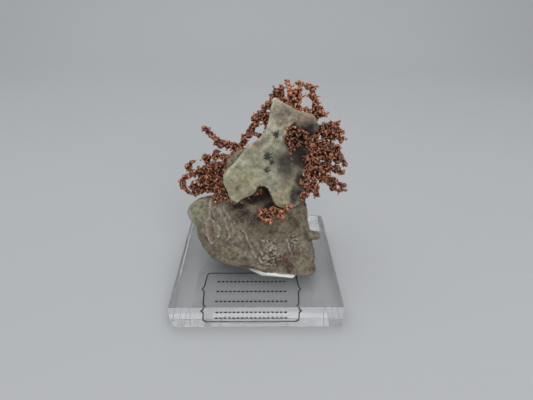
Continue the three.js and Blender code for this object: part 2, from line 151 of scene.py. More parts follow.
def shaded(tree, tone, value, low, high, at_low, at_high):
    """The tone times a factor that goes from one to another as a value goes from low to high."""
    factor = add(tree, "MapRange", {0: value, 1: low, 2: high, 3: at_low, 4: at_high})
    return add(tree, "VectorMath", {0: tone, "Scale": factor}, operation="SCALE")


def linked(name, data):
    """A new object in the scene."""
    thing = bpy.data.objects.new(name, data)
    bpy.context.scene.collection.objects.link(thing)
    return thing


def place_camera():
    """The photograph's viewing angle, from the front and above."""
    pitch, yaw, roll = (math.radians(a) for a in (CAMERA_PITCH, CAMERA_YAW, CAMERA_ROLL))
    forward = Vector((
        math.sin(yaw) * math.cos(pitch), math.cos(yaw) * math.cos(pitch), -math.sin(pitch),
    ))
    level = Vector((math.cos(yaw), -math.sin(yaw), 0))
    upright = level.cross(forward)
    right = math.cos(roll) * level + math.sin(roll) * upright
    up = math.cos(roll) * upright - math.sin(roll) * level
    data = bpy.data.cameras.new("camera")
    data.lens = CAMERA_LENS
    data.sensor_width = CAMERA_SENSOR
    data.clip_start = CAMERA_NEAREST * MM
    camera = linked("camera", data)
    camera.matrix_world = Matrix((right, up, -forward)).transposed().to_4x4()
    camera.location = Vector(CAMERA_PLACE) * MM
    bpy.context.scene.camera = camera


def new_piece(name, mesh, material, replaces=()):
    """Links a mesh as a piece of the object, riding on its one body."""
    piece = linked(name, mesh)
    mesh.materials.clear()
    mesh.materials.append(material)
    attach(piece, "root")
    if replaces:
        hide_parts(*replaces)
    return piece


def mesh_from(name, vertices, faces):
    """A mesh from its corners and faces."""
    mesh = bpy.data.meshes.new(name)
    mesh.from_pydata([tuple(v) for v in vertices], [], faces)
    mesh.update()
    return mesh


def shape_of(node):
    """A CAD node's corners in metres and its faces."""
    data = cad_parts[node].data
    return np.array([v.co[:] for v in data.vertices]), [list(p.vertices) for p in data.polygons]


def rounded_lump(u, v, w, size_u, size_v, size_w):
    """A rounded lump on the specimen, by its middle and half sizes in millimetres."""
    ball = bmesh.new()
    bmesh.ops.create_icosphere(ball, subdivisions=3, radius=1)
    corners = np.array([c.co[:] for c in ball.verts]) * (size_u, size_v, size_w) + (u, v, w)
    faces = [[c.index for c in face.verts] for face in ball.faces]
    ball.free()
    return specimen(corners), faces


def grown_together(name, shapes, voxel, smooth_rounds):
    """Closed shapes that overlap, made one mesh with small even faces, ready to be worked."""
    corners, faces, count = [], [], 0
    for own_corners, own_faces in shapes:
        corners.append(own_corners)
        faces += [[count + i for i in face] for face in own_faces]
        count += len(own_corners)
    loose = mesh_from(name + "_loose", np.concatenate(corners), faces)
    scratch = linked(name + "_scratch", loose)
    remesh = scratch.modifiers.new("even", "REMESH")
    remesh.mode = "VOXEL"
    remesh.voxel_size = voxel * MM
    remesh.use_smooth_shade = True
    smooth = scratch.modifiers.new("soften", "SMOOTH")
    smooth.factor = 0.5
    smooth.iterations = smooth_rounds
    graph = bpy.context.evaluated_depsgraph_get()
    mesh = bpy.data.meshes.new_from_object(scratch.evaluated_get(graph))
    mesh.name = name
    bpy.data.objects.remove(scratch)
    bpy.data.meshes.remove(loose)
    return mesh


def vertex_array(mesh):
    """Each corner's place in metres."""
    flat = np.empty(3 * len(mesh.vertices))
    mesh.vertices.foreach_get("co", flat)
    return flat.reshape(-1, 3)


def normal_array(mesh):
    """Each corner's outward direction."""
    flat = np.empty(3 * len(mesh.vertices), np.float32)
    mesh.vertices.foreach_get("normal", flat)
    return flat.reshape(-1, 3).astype(float)


def averaged(mesh, places, rounds):
    """Each corner's place after it has moved, round after round, to the middle of its neighbours."""
    ends = np.empty(2 * len(mesh.edges), np.int32)
    mesh.edges.foreach_get("vertices", ends)
    ends = ends.reshape(-1, 2)
    start = np.concatenate([ends[:, 0], ends[:, 1]])
    other = np.concatenate([ends[:, 1], ends[:, 0]])
    count = np.bincount(start, minlength=len(places))
    for _ in range(rounds):
        sums = [np.bincount(start, places[other, axis], len(places)) for axis in range(3)]
        places = np.stack(sums, axis=1) / count[:, None]
    return places


def crests(mesh, rounds, height):
    """How far each corner stands out of its surroundings, from 0 in a crevice over 0.5 to 1 on a crest."""
    places = vertex_array(mesh) / MM
    out = ((places - averaged(mesh, places, rounds)) * normal_array(mesh)).sum(axis=1)
    return 0.5 + out / (2 * height)


def store(mesh, name, values):
    """Keeps a mask on the mesh, or one value for all of it, for its material to read."""
    values = np.full(len(mesh.vertices), np.clip(values, 0, 1), np.float32)
    mesh.attributes.new(name, "FLOAT", "POINT").data.foreach_set("value", values)


def lumps(points, size, seed, octaves=1):
    """Noise at each point, about -1 to 1, with lumps of a size in millimetres."""
    shift = Vector([part * seed for part in SEED_SHIFT])
    return np.array([
        noise.fractal(Vector(p) / size + shift, 1.0, 2.0, octaves) for p in points
    ])


def astray(points, size, seeds):
    """How far each point strays along u and v."""
    return np.stack([lumps(points, size, seed, 2) for seed in seeds], axis=1)


def step(values, low, high):
    """0 up to one value and 1 from the other on, with a soft rise between them."""
    share = np.clip((values - low) / (high - low), 0, 1)
    return share * share * (3 - 2 * share)


def between(values, starts, whole_from, whole_to, ends):
    """1 in a stretch and 0 outside it, with a soft rise and fall."""
    return step(values, starts, whole_from) * step(values, ends, whole_to)


def patches(uv, discs):
    """Soft discs [u, v, radius along u, radius along v], joined."""
    mask = np.zeros(len(uv))
    for u, v, across, along in discs:
        far = ((uv[:, 0] - u) / across) ** 2 + ((uv[:, 1] - v) / along) ** 2
        mask = np.maximum(mask, np.exp(-far))
    return mask


def corners_cut(line):
    """A line of which each stretch keeps its middle half, so that the corners are cut. Its ends stay."""
    inner = []
    for (u, v), (next_u, next_v) in zip(line, line[1:]):
        inner.append(((3 * u + next_u) / 4, (3 * v + next_v) / 4))
        inner.append(((u + 3 * next_u) / 4, (v + 3 * next_v) / 4))
    return [line[0], *inner, line[-1]]


def strokes(uv, lines, width):
    """Soft lines through their points, of a width in millimetres, with their corners cut."""
    nearest = np.full(len(uv), np.inf)
    for line in lines:
        for _ in range(CORNER_CUTS):
            line = corners_cut(line)
        for start, end in zip(line, line[1:]):
            start, end = np.array(start), np.array(end)
            along = end - start
            share = np.clip((uv - start) @ along / (along @ along), 0, 1)
            nearest = np.minimum(nearest, np.linalg.norm(uv - start - share[:, None] * along, axis=1))
    return np.exp(-(nearest / width) ** 2)


ROCK_VOXEL = 0.27
ROCK_SMOOTHING = 6
ROCK_CLEARANCE = 0.3

# The pale upper plate: its lower edge as v over u, the w of its rim at v = 0 and its gain over each
# millimetre, how far back the plate reaches, and how softly it ends
PLATE_EDGE_U = (-10.7, -8.5, -6.8, -3.9, -0.7, 0.1, 2.0, 3.6, 4.6, 5.7, 8.9, 11.3, 13.4, 14.4)
PLATE_EDGE_V = (5.3, -0.2, -2.1, -0.1, 1.3, 3.6, 4.0, 2.9, -0.1, -2.7, -2.7, -3.0, -2.0, 1.7)
PLATE_EDGE_FADE = (-0.5, 0.1)
PLATE_RIM_W = 0.7
PLATE_RIM_TILT = 0.2
PLATE_DEPTH = 4.0
PLATE_BACK_FADE = 2.0

# The rough shoulder behind the plate's left edge: in w, u and v, where it begins and where it is whole
SHOULDER_W = (5.2, 4.0)
SHOULDER_U = (1.0, -1.0)
SHOULDER_V = (5.0, 7.5)

# Lumps on the plate, each [u, v, w, half sizes]: the knob over the hollow, and bumps on the left edge
ROCK_LUMPS = (
    (14.2, 22.8, 6.2, 3.8, 2.9, 3.5), (16.0, 20.8, 5.4, 2.3, 1.6, 2.2),
    (-0.8, 15.2, 6.6, 2.3, 1.4, 1.7), (3.0, 17.6, 7.2, 1.5, 1.9, 1.5),
)

# The floor of the hollow, which falls away to the right: its w at one u, and its fall over each millimetre
HOLLOW_FLOOR = 8.0
HOLLOW_FLOOR_U = 9.0
HOLLOW_FALL = 0.72
# Where the hollow is filled up, and where its edges are eased: starts, whole from, whole to, ends
HOLLOW_U = (7.6, 8.8)
HOLLOW_V = (3.5, 6.0, 15.0, 17.0)
EASED_U = (5.5, 7.5, 14.0, 15.5)
EASED_V = (2.5, 5.0, 15.5, 17.5)
EASED_ROUNDS = 80

# Raised veins on the lower block, as lines of [u, v]
LENS_VEINS = (
    (
        (-14.3, -0.5), (-14.8, -3.3), (-14.8, -6.2), (-15.7, -7.7), (-15.8, -9.6), (-15.2, -12.7),
        (-14.3, -14.6),
    ),
    ((-14.8, -6.2), (-13.2, -7.7), (-11.5, -10.0), (-11.6, -11.6), (-13.2, -13.7), (-14.3, -14.6)),
)
SWEPT_VEINS = (
    ((-13.2, -3.0), (-11.2, -4.9), (-9.9, -7.4), (-9.0, -9.9), (-8.4, -12.1), (-9.2, -13.3)),
    ((-11.8, -2.4), (-9.6, -4.6), (-8.0, -7.7), (-7.0, -11.1)),
    ((-6.2, -8.5), (-3.9, -10.4), (-2.8, -12.7), (-1.8, -16.1), (-0.3, -18.9)),
)
# Pale ridges of the white crust, and the pale edge of the low left shoulder
CRUST_RIDGES = (
    ((1.7, -13.3), (4.2, -14.2), (5.4, -15.1), (6.0, -17.0)),
    ((5.4, -13.3), (4.8, -15.7), (3.5, -17.6), (2.9, -19.5)),
    ((0.8, -19.2), (2.0, -20.5), (3.6, -21.1)),
    ((9.2, -13.3), (10.2, -15.2), (10.8, -16.8)),
    ((4.8, -16.4), (6.0, -18.2), (7.0, -19.6)),
    ((1.2, -17.0), (2.2, -18.6), (2.9, -19.5)),
)
SHOULDER_EDGE = (((-21.3, -3.1), (-21.5, -5.3), (-20.2, -7.4), (-19.3, -9.4), (-18.9, -12.4)),)
# How each kind of line is drawn: how far it strays from its points, its width in mm, and its strength
LENS_LINE = (0.25, 0.36, 1.0)
SWEPT_LINE = (0.35, 0.32, 0.9)
EDGE_LINE = (0.3, 0.6, 0.6)
RIDGE_LINE = (0.6, 0.42, 1.0)

# Soft discs [u, v, radius along u, radius along v] that say where each finish and each painted shade shows
# on the rock's front
GREEN_TINT = (
    (-18.6, -4.2, 2.6, 3.6), (-20.2, -7.2, 1.6, 2.2), (-1.6, 12.6, 2.6, 1.5), (0.4, 9.6, 2.0, 0.9),
    (1.6, 15.6, 1.8, 1.4),
)
WARM_TINT = (
    (8.0, 24.6, 3.0, 2.2), (13.8, 23.6, 3.2, 2.0), (0.2, 15.6, 1.8, 1.0),
    (15.0, 22.6, 2.7, 1.8), (6.9, 22.0, 1.3, 1.2), (10.9, 22.7, 1.1, 0.9), (0.4, 15.0, 1.0, 0.7),
    (-5.6, 2.7, 0.7, 0.7), (9.2, 9.0, 1.8, 3.5), (-13.9, -9.8, 1.0, 2.2),
)
YELLOW_TINT = ((6.6, -0.6, 2.0, 3.4), (9.6, 1.6, 3.0, 3.0), (-6.4, 3.0, 3.4, 3.0), (-2.6, 5.6, 4.4, 2.8))
GREY_STAIN = (
    (9.2, 24.9, 1.9, 1.1), (6.6, 24.0, 1.8, 0.5), (8.0, 26.6, 1.0, 1.0), (13.2, 1.6, 1.6, 3.2),
    (4.6, 10.6, 1.0, 1.8), (-5.6, 2.7, 0.7, 0.7),
)
# Painted shade: the plate's right side, where it turns away from the light, and the underside of the knob
SHADE = (
    (12.4, 12.6, 4.6, 5.6), (11.6, 0.8, 1.3, 3.4), (15.5, 20.2, 3.4, 2.6), (13.2, 5.6, 2.0, 4.0),
    (9.0, 10.2, 3.2, 4.6),
)
TAN_LOBE = ((-9.4, -17.4, 2.4, 2.8), (-12.0, -16.0, 1.4, 1.8), (14.0, -20.5, 2.6, 2.4))
# Dark blue-black spots in the stone. The fourth and fifth discs are painted shade: the dark hollow beside
# the copper, and under the knob.
DARK_SPOTS_AND_SHADE = (
    (12.9, 1.5, 0.9, 1.0), (14.3, -0.7, 0.8, 1.0), (15.0, -2.0, 0.5, 0.6), (14.4, 12.4, 2.0, 3.4),
    (15.9, 19.4, 1.6, 0.7),
)
STREAKED = ((-12.0, -8.0, 3.2, 7.0), (-7.5, -11.0, 4.0, 5.0), (-2.5, -15.5, 3.0, 3.0))
SUGARY = ((-4.3, -5.6, 3.2, 2.4), (-0.6, -6.6, 2.6, 2.6), (-7.4, -3.6, 1.6, 1.2))
OLIVE = ((5.0, -10.5, 5.0, 1.8), (-1.0, -10.0, 2.5, 2.0), (11.5, -7.5, 2.5, 3.0))
WHITE_CRUST = (
    (4.2, -18.6, 3.0, 3.2), (2.6, -20.6, 1.6, 1.4), (11.6, -13.8, 1.2, 2.0), (4.0, -13.6, 2.2, 1.0),
)
RED_CRUST = (
    (8.4, -19.2, 2.0, 2.2), (10.2, -22.2, 1.2, 2.0), (12.4, -17.6, 2.0, 0.8), (18.0, -23.0, 0.6, 1.2),
)
# Painted shade: the dark recess under the plate's front edge, in brown-black
RECESS_SHADE = ((-1.0, 0.2, 5.2, 2.6), (1.8, 1.2, 2.6, 3.4), (4.4, -3.0, 2.6, 1.6), (-5.6, -2.6, 2.4, 1.2))
SHADE_STRENGTH = 1.15
GREY_STAIN_STRENGTH = 0.7
CRUST_STRENGTH = 0.6
PITS_STRENGTH = 0.6

# The streaks run square to this direction, in bands drawn out along them
STREAK_ACROSS = np.array([0.89, 0.45])
STREAK_DRAWN_OUT = 4
STREAK_DEPTH = 2
STREAK_BANDS = (1.3, 7, 2)
STREAK_STRENGTH = 0.42

# The finishes' edges wander, and the stars' edges fray: size in mm and seeds along u and v, then the reach
WANDER = (2.2, (41, 42))
FRAY = (0.6, (43, 44))
WANDER_REACH = 0.7
FRAY_REACH = 0.3

# Which way a face looks, from -1 straight back to 1 straight out: on the front, and not on the back
ON_FRONT = (-0.1, 0.35)
NOT_BEHIND = (-0.6, -0.1)
# How the crusts set in with their soft discs
CRUST_EDGE = (0.15, 0.6)

# Lumps of the stone: size in mm, seed and octaves. Then how far they rise on the plate and on the block.
BROAD_LUMPS = (5.5, 1, 1)
KNOBS = (1.9, 2, 3)
GRAINS = (0.62, 4, 2)
CRUST_FOLDS = (1.0, 3, 2)
WORN_LUMPS = (1.6, 8, 2)
PLATE_RELIEF = (0.28, 0.16, 0.02)
BLOCK_RELIEF = (0.55, 0.30, 0.08)

# What is left of a vein where it is most worn
WORN_LEAST = 0.35

# How far each finish rises or sinks, in millimetres
BAND_RELIEF = 0.25
VEIN_RELIEF = 0.32
RIDGE_RELIEF = 0.35
SUGARY_RELIEF = 0.26
SUGARY_SUNK = 0.1
FOLD_RELIEF = 0.26
CRUST_GRAIN_RELIEF = 0.12
# The lens between the two long veins is sunk, and the front foot is tucked in over the putty. The tuck and
# the painted recess shade both end towards the back, between two values of w.
LENS_HOLLOW = ((-13.8, -10.2, 1.1, 2.6),)
LENS_HOLLOW_DEPTH = 0.35
FOOT_TUCK = ((0.4, -23.7, 4.0, 1.5),)
FOOT_TUCK_DEPTH = 1.1
FOOT_TUCK_W = (-6.0, -4.0)
RECESS_SHADE_W = (-5.0, -3.0)

# Crevices and crests of the rock: rounds of averaging they are told by, and their height in mm
ROCK_CREST = (8, 0.14)

# Dark crystal stars that are only colour in the pale stone: [u, v, reach, arms, turn]
STARS = (
    (5.7, 18.5, 1.5, 7, 0.3), (3.3, 12.2, 1.9, 8, 1.1), (4.5, 10.3, 0.9, 5, 0.2), (3.1, 8.1, 1.5, 6, 0.8),
)
STAR_WAIST = 0.45
STAR_POINTED = 1.5
STAR_UNEVEN = 0.2
STAR_FADE = (1.15, 0.7)


def star_mask(uv, stars):
    """Spots with ragged arms, like dark dendrites seen in the stone."""
    mask = np.zeros(len(uv))
    for u, v, reach, arms, turn in stars:
        du, dv = uv[:, 0] - u, uv[:, 1] - v
        around = np.arctan2(dv, du)
        arm = np.abs(np.cos(arms * around / 2 + turn)) ** STAR_POINTED
        arm = arm * (1 - STAR_UNEVEN + STAR_UNEVEN * np.sin(3 * around + turn))
        reach_here = reach * (STAR_WAIST + (1 - STAR_WAIST) * arm)
        mask = np.maximum(mask, step(np.hypot(du, dv) / reach_here, *STAR_FADE))
    return mask


def plate_share(places):
    """Where the smooth plate is, from 0 on the rough block to 1."""
    u, v, w = places.T
    edge = np.interp(u, PLATE_EDGE_U, PLATE_EDGE_V)
    rim = PLATE_RIM_W + PLATE_RIM_TILT * v
    plate = step(v - edge, *PLATE_EDGE_FADE) * step(w - rim, -PLATE_DEPTH, PLATE_BACK_FADE - PLATE_DEPTH)
    shoulder = step(w, *SHOULDER_W) * step(u, *SHOULDER_U) * step(v, *SHOULDER_V)
    return plate * (1 - shoulder)


def hollow_filled(mesh, places, normals):
    """The rock's corners with its hollow raised to the floor, and the edges round it eased."""
    u, v, w = places.T
    upright = (normals[:, 2] > 0) * step(w, 0, 1)
    hollow = step(u, *HOLLOW_U) * between(v, *HOLLOW_V) * upright
    floor = HOLLOW_FLOOR - HOLLOW_FALL * (u - HOLLOW_FLOOR_U)
    filled = places.copy()
    filled[:, 2] += hollow * np.clip(floor - w, 0, None)
    eased = between(u, *EASED_U) * between(v, *EASED_V) * upright
    return filled + eased[:, None] * (averaged(mesh, filled, EASED_ROUNDS) - filled)


class RockSkin:
    """The rock's corners in specimen millimetres, with the masks that its relief and its finishes share."""

    def __init__(self, mesh):
        places = specimen_of(vertex_array(mesh))
        self.uv = places[:, :2]
        self.normals = normal_array(mesh) @ AXES.T
        self.facing = step(self.normals[:, 2], *ON_FRONT)
        self.waxy = plate_share(places)
        self.block = 1 - self.waxy
        self.front = self.facing * self.block
        self.wander = astray(places, *WANDER)
        self.ragged = self.uv + WANDER_REACH * self.wander
        self.frayed = self.uv + FRAY_REACH * self.wander + FRAY_REACH * astray(places, *FRAY)
        self.places = hollow_filled(mesh, places, self.normals)
        self.knobs = lumps(self.places, *KNOBS)
        self.worn = WORN_LEAST + (1 - WORN_LEAST) * step(lumps(self.places, *WORN_LUMPS), -0.35, 0.25)
        self.bands = self.streak_bands()
        self.veins = self.vein_mask()
        self.sugary = self.on_block(SUGARY)
        self.white = self.on_block(WHITE_CRUST)
        self.red = self.on_block(RED_CRUST)
        self.ridges = self.drawn(CRUST_RIDGES, *RIDGE_LINE) * (0.5 + 0.5 * self.worn) * self.front
        # From -1 in the narrow creases of the crusts to 1 on the swells between them
        folded = lumps(self.places + 0.3 * self.wander[:, :1], *CRUST_FOLDS)
        self.folds = np.clip(6 * np.abs(folded), 0, 2) - 1

    def on_block(self, discs):
        """A finish of the block's front, with ragged edges."""
        return patches(self.ragged, discs) * self.front

    def drawn(self, lines, stray, width, strength):
        """Soft lines that stray from their points."""
        return strength * strokes(self.uv + stray * self.wander, lines, width)

    def streak_bands(self):
        """Noise drawn out into bands, about -1 to 1, which the fine streaks follow."""
        across = self.uv @ STREAK_ACROSS
        along = self.uv @ (-STREAK_ACROSS[1], STREAK_ACROSS[0])
        stretched = np.stack([across, along / STREAK_DRAWN_OUT, self.places[:, 2] / STREAK_DEPTH], axis=1)
        return lumps(stretched, *STREAK_BANDS)

    def vein_mask(self):
        """The raised veins, the fine streaks beside them and the pale edge of the shoulder."""
        raised = np.maximum(self.drawn(LENS_VEINS, *LENS_LINE), self.drawn(SWEPT_VEINS, *SWEPT_LINE))
        streaks = step(np.abs(self.bands), 0.16, 0.03) * step(patches(self.uv, STREAKED), 0.1, 0.6)
        faint = np.maximum(self.drawn(SHOULDER_EDGE, *EDGE_LINE), STREAK_STRENGTH * streaks)
        return np.maximum(raised * self.worn, faint) * self.front

    def rise(self):
        """How far each corner rises out of the even mesh, in millimetres."""
        broad = lumps(self.places, *BROAD_LUMPS)
        grains = lumps(self.places, *GRAINS)
        on_plate, on_block = (
            first * broad + second * self.knobs + third * grains
            for first, second, third in (PLATE_RELIEF, BLOCK_RELIEF)
        )
        rise = self.waxy * on_plate
        rise += self.block * (on_block + BAND_RELIEF * self.bands * patches(self.uv, STREAKED))
        rise -= FOOT_TUCK_DEPTH * patches(self.uv, FOOT_TUCK) * step(self.places[:, 2], *FOOT_TUCK_W)
        rise += VEIN_RELIEF * self.veins
        rise -= LENS_HOLLOW_DEPTH * patches(self.uv, LENS_HOLLOW) * self.facing
        rise += self.sugary * (SUGARY_RELIEF * grains - SUGARY_SUNK)
        crust = np.maximum(self.white, self.red)
        rise += crust * (FOLD_RELIEF * self.folds + CRUST_GRAIN_RELIEF * grains)
        return rise + RIDGE_RELIEF * self.ridges

    def finishes(self):
        """The masks that colour the rock, by name."""
        not_behind = step(self.normals[:, 2], *NOT_BEHIND)
        crust = step(np.maximum(self.white, self.red), *CRUST_EDGE)
        pale_folds = CRUST_STRENGTH * step(self.white, *CRUST_EDGE) * step(self.folds, -0.8, 0.2)
        # Dark spots and stars in the stone, with painted shade in the hollow and under the knob
        spots_and_shade = np.maximum(patches(self.ragged, DARK_SPOTS_AND_SHADE), star_mask(self.frayed, STARS))
        # Painted shade in the recess under the plate
        recess_shade = step(patches(self.ragged, RECESS_SHADE), 0.1, 0.75) * step(self.places[:, 2], *RECESS_SHADE_W)
        return {
            "waxy": self.waxy,
            "veins": self.veins,
            "olive": self.on_block(OLIVE),
            "sugary": self.sugary,
            "white_crust": np.maximum(pale_folds, self.ridges),
            "crust_between": crust * step(self.folds, 0.0, -0.8),
            "red_crust": self.red * step(self.folds, -0.4, 0.4),
            "green_tint": patches(self.ragged, GREEN_TINT) * self.facing,
            "yellow_tint": patches(self.ragged, YELLOW_TINT) * self.facing * self.waxy,
            "warm_tint": patches(self.ragged, WARM_TINT) * not_behind,
            "tan_lobe": self.on_block(TAN_LOBE),
            # Painted shade on the plate's right side and under the knob
            "shade": SHADE_STRENGTH * patches(self.ragged, SHADE) * not_behind,
            "grey_stain": GREY_STAIN_STRENGTH * patches(self.ragged, GREY_STAIN) * self.facing,
            "dark_spots_and_shade": spots_and_shade * self.facing,
            "recess_shade": recess_shade * self.block,
            "pits": PITS_STRENGTH * step(-self.knobs, 0.3, 0.9) * self.block,
        }


def work_rock(mesh):
    """Gives the even mesh its lumps, veins, grains and crusts, and keeps the masks that colour it."""
    skin = RockSkin(mesh)
    world = specimen(skin.places + skin.rise()[:, None] * skin.normals)
    world[:, 2] = np.maximum(world[:, 2], (SLAB_TOP + ROCK_CLEARANCE) * MM)
    mesh.vertices.foreach_set("co", world.ravel())
    mesh.update()
    store(mesh, "crest", crests(mesh, *ROCK_CREST))
    for name, mask in skin.finishes().items():
        store(mesh, name, mask)


# Rock finishes and painted shade from the bottom layer up: mask, its two tones, and the size in mm of their
# mottling
ROCK_LAYERS = (
    ("pits", "#544a3c", "#615746", 1.2),
    ("waxy", "#bdb99e", "#96937d", 1.9),
    ("yellow_tint", "#b0a782", "#979070", 1.4),
    ("green_tint", "#9c9b7c", "#83856b", 1.6),
    ("warm_tint", "#977a65", "#745d4c", 1.2),
    ("veins", "#a99e92", "#92877b", 1.5),
    # Painted shade
    ("shade", "#3f3528", "#2b231a", 2.6),
    ("grey_stain", "#5f6356", "#4a4e44", 0.9),
    ("olive", "#574f3c", "#766b54", 1.2),
    ("tan_lobe", "#8f846c", "#7c715b", 1.6),
    ("sugary", "#120d0a", "#685845", 0.45),
    ("white_crust", "#aca498", "#867d72", 0.8),
    ("crust_between", "#3d2e26", "#564339", 0.8),
    ("red_crust", "#522c23", "#7f5b4e", 0.9),
    # Painted shade in the recess under the plate
    ("recess_shade", "#160f0b", "#302117", 1.2),
    # Dark spots, with painted shade in the hollow and under the knob
    ("dark_spots_and_shade", "#161918", "#262a27", 0.6),
)


def rock_material():
    """Altered volcanic rock, broken and left raw: dull brown-grey, a smooth waxy pale plate, and crusts."""
    material, tree = new_material("altered_rock_raw")
    place = add(tree, "TexCoord").outputs["Object"]
    tone, _ = mottled(tree, place, 4.0, "#73695a", "#8a806c", 0.36, 0.62, 4.0)
    for mask, first, second, size in ROCK_LAYERS:
        own, _ = mottled(tree, place, size, first, second, 0.38, 0.62, 3.0)
        reach = add(tree, "Attribute", attribute_name=mask).outputs["Fac"]
        tone = add(tree, "Mix", {0: reach, 6: tone, 7: own}, data_type="RGBA").outputs[2]
    waxy = add(tree, "Attribute", attribute_name="waxy").outputs["Fac"]
    crest = add(tree, "Attribute", attribute_name="crest").outputs["Fac"]
    # Painted shade in the rock's crevices and painted highlight on its crests, by the crest mask
    tone = shaded(tree, tone, crest, 0.1, 0.9, 0.55, 1.25)
    speck = add(tree, "TexNoise", {"Vector": place, "Scale": 1000 / 0.4, "Detail": 2.0})
    tone = shaded(tree, tone, speck, 0.36, 0.64, 0.8, 1.14)
    dull = add(tree, "MapRange", {0: waxy, 3: 0.82, 4: 0.5})
    grain = add(tree, "TexNoise", {"Vector": place, "Scale": 1000 / 0.45, "Detail": 4.0})
    height = add(tree, "MapRange", {0: waxy, 3: 1.0, 4: 0.25})
    bump = add(tree, "Bump", {"Strength": height, "Distance": 0.12 * MM, "Height": grain})
    return surfaced(material, {"Base Color": tone, "Roughness": dull, "IOR": 1.52, "Normal": bump})


# Copper, in millimetres: angular crystals crowd each mass and grow into one another, with short twigs
COPPER_VOXEL = 0.14
CORE_VOXEL = 1.4 * COPPER_VOXEL
FIRST_COPPER_SEED = 300
# The CAD shape is drawn in, most where gaps open, but never by more than a share of its thickness
CORE_DRAWN_IN = 0.22
GAP_SIZE = 1.6
GAP_DEPTH = 1.1
GAP_SEED = 11
GAP_RISE = (0.1, 0.55)
MOST_DRAWN_IN = 0.38
# Crystals: how far apart, how large, how flat at the most, and how far out of the core by their radius
CRYSTAL_SPACING = 0.62
CRYSTAL_RADIUS = (0.24, 0.62)
CRYSTAL_FLATTEST = 0.6
CRYSTAL_OUT = (-0.2, 0.7)
KNOB_CHANCE = 0.06
KNOB_RADIUS = (0.7, 1.0)
KNOB_OUT = 0.1
TWIG_CHANCE = 0.07
TWIG_STEP = 0.42
TWIG_RADIUS = (0.26, 0.42)
TWIG_CRYSTALS = (2, 2, 3)
TWIG_STRETCH = (1.0, 1.4)
TWIG_LEAN = 0.45
TWIG_TURN = 0.35
# Crystals of each kind, the corners of a broken chip, and how far any corner is drawn in or out
FORMS_OF_EACH_KIND = 5
CHIP_CORNERS = 10
CORNER_REACH = (0.8, 1.2)
FORMS_SEED = 5
GRAINS_SEED = 77
# How far crystals stay inside the CAD box
BOX_MARGIN = 0.1
# Crevices between crystals and broad clefts between masses, which get painted shade: rounds of averaging,
# and height in mm
CRYSTAL_CREST = (12, 0.15)
CLEFT_CREST = (70, 0.5)

# What some masses have more of than the rest: bright metal, large knobs, and painted shade where they lie in
# shadow
FRESH_NODES = {
    "copper_front_tuft": 0.34, "copper_pocket": 0.04, "copper_crest_plate": 0.3, "copper_crest_arch": 0.22,
}
TARNISHED_FRESHNESS = 0.08
KNOBBLY_NODES = {"copper_front_tuft": 0.3, "copper_pocket": 0.14}
SHADED_NODES = {"copper_pocket": 0.07, "copper_notch": 0.12}

# The copper grains that show in the plate: [u, v, crystal radius], and their masks
PLATE_GRAINS = (
    (3.4, 8.2, 0.32), (3.6, 8.5, 0.25), (10.4, 11.6, 0.36), (10.8, 11.2, 0.28), (10.6, 10.0, 0.34),
    (10.9, 9.6, 0.26),
)
PLATE_GRAIN_MASKS = {"crest": 0.7, "cleft_shade": 0.4, "freshness": 0.5}

